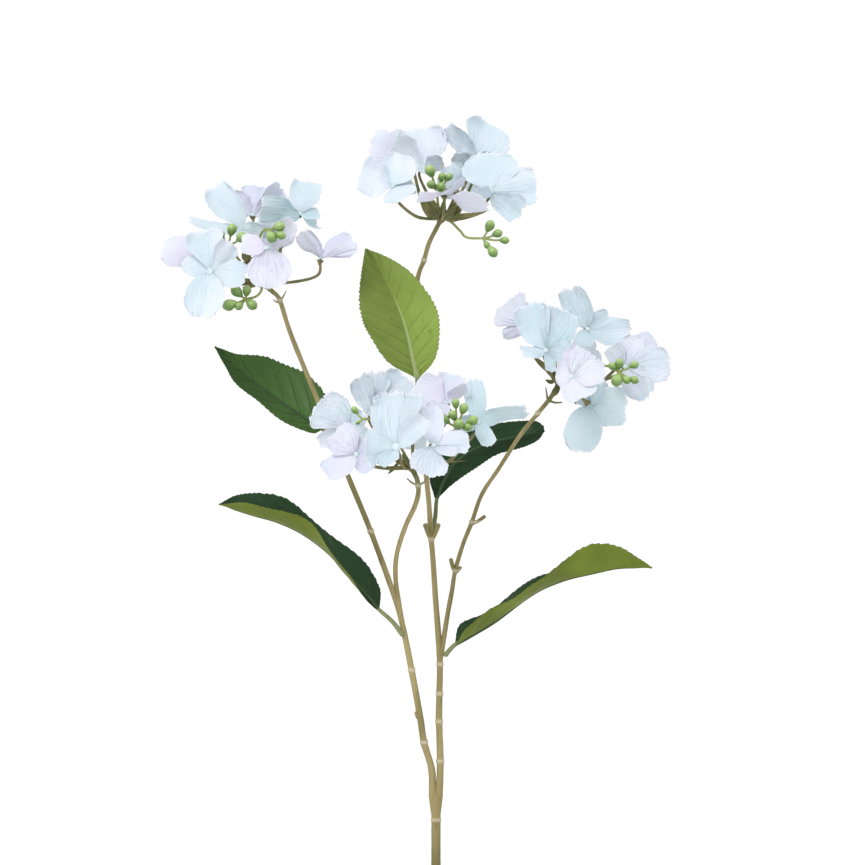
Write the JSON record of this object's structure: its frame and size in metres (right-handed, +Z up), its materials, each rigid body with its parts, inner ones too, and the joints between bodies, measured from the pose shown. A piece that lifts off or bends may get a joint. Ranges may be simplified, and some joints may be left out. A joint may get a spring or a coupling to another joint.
{
  "type": "potted hydrangea",
  "caption": "Hydrangea spray of lacecap flower heads with loose four-petalled florets, green buds and toothed leaves on slender forked stems, standing in a plain round pot of soil",
  "frame": {"origin": "centre of the pot's flat underside", "axes": "+Z up, +X to the right as the spray is looked at from its front, +Y towards its back"},
  "size_m": [0.2937, 0.1578, 0.5732],
  "materials": {
    "pot": "unglazed pale stoneware, matt",
    "soil": "loose bark compost",
    "stem": "moulded plastic, olive tan, satin",
    "leaf": "coated cloth, dark green above and yellow green below",
    "leaf_light": "coated cloth, light yellow green",
    "pedicel": "moulded plastic, soft green",
    "petal": "thin stiffened cloth, pale blue",
    "petal_lilac": "thin stiffened cloth, pale blue shading to lilac"
  },
  "bodies": {
    "root": {"pot": "pot", "soil": "soil", "trunk": "stem", "left_stem": "stem", "centre_stem": "stem", "middle_stem": "stem", "right_stem": "stem", "leaf_upright": "leaf_light", "leaf_left": "leaf", "leaf_back_right": "leaf", "leaf_low_left": "leaf", "leaf_low_right": "leaf", "top_pedicels": "pedicel", "left_pedicels": "pedicel", "right_pedicels": "pedicel", "centre_pedicels": "pedicel", "top_floret_1": "petal", "top_floret_2": "petal", "top_floret_3": "petal", "top_floret_4": "petal", "top_floret_5": "petal_lilac", "top_floret_6": "petal", "top_floret_7": "petal_lilac", "top_floret_8": "petal", "left_floret_1": "petal", "left_floret_2": "petal", "left_floret_3": "petal_lilac", "left_floret_4": "petal", "left_floret_5": "petal_lilac", "left_floret_6": "petal_lilac", "left_floret_7": "petal_lilac", "left_floret_8": "petal", "right_floret_1": "petal", "right_floret_2": "petal_lilac", "right_floret_3": "petal", "right_floret_4": "petal", "right_floret_5": "petal_lilac", "right_floret_6": "petal", "right_floret_7": "petal_lilac", "right_floret_8": "petal", "centre_floret_1": "petal", "centre_floret_2": "petal", "centre_floret_3": "petal", "centre_floret_4": "petal_lilac", "centre_floret_5": "petal_lilac", "centre_floret_6": "petal", "centre_floret_7": "petal", "centre_floret_8": "petal"}
  },
  "joints": []
}
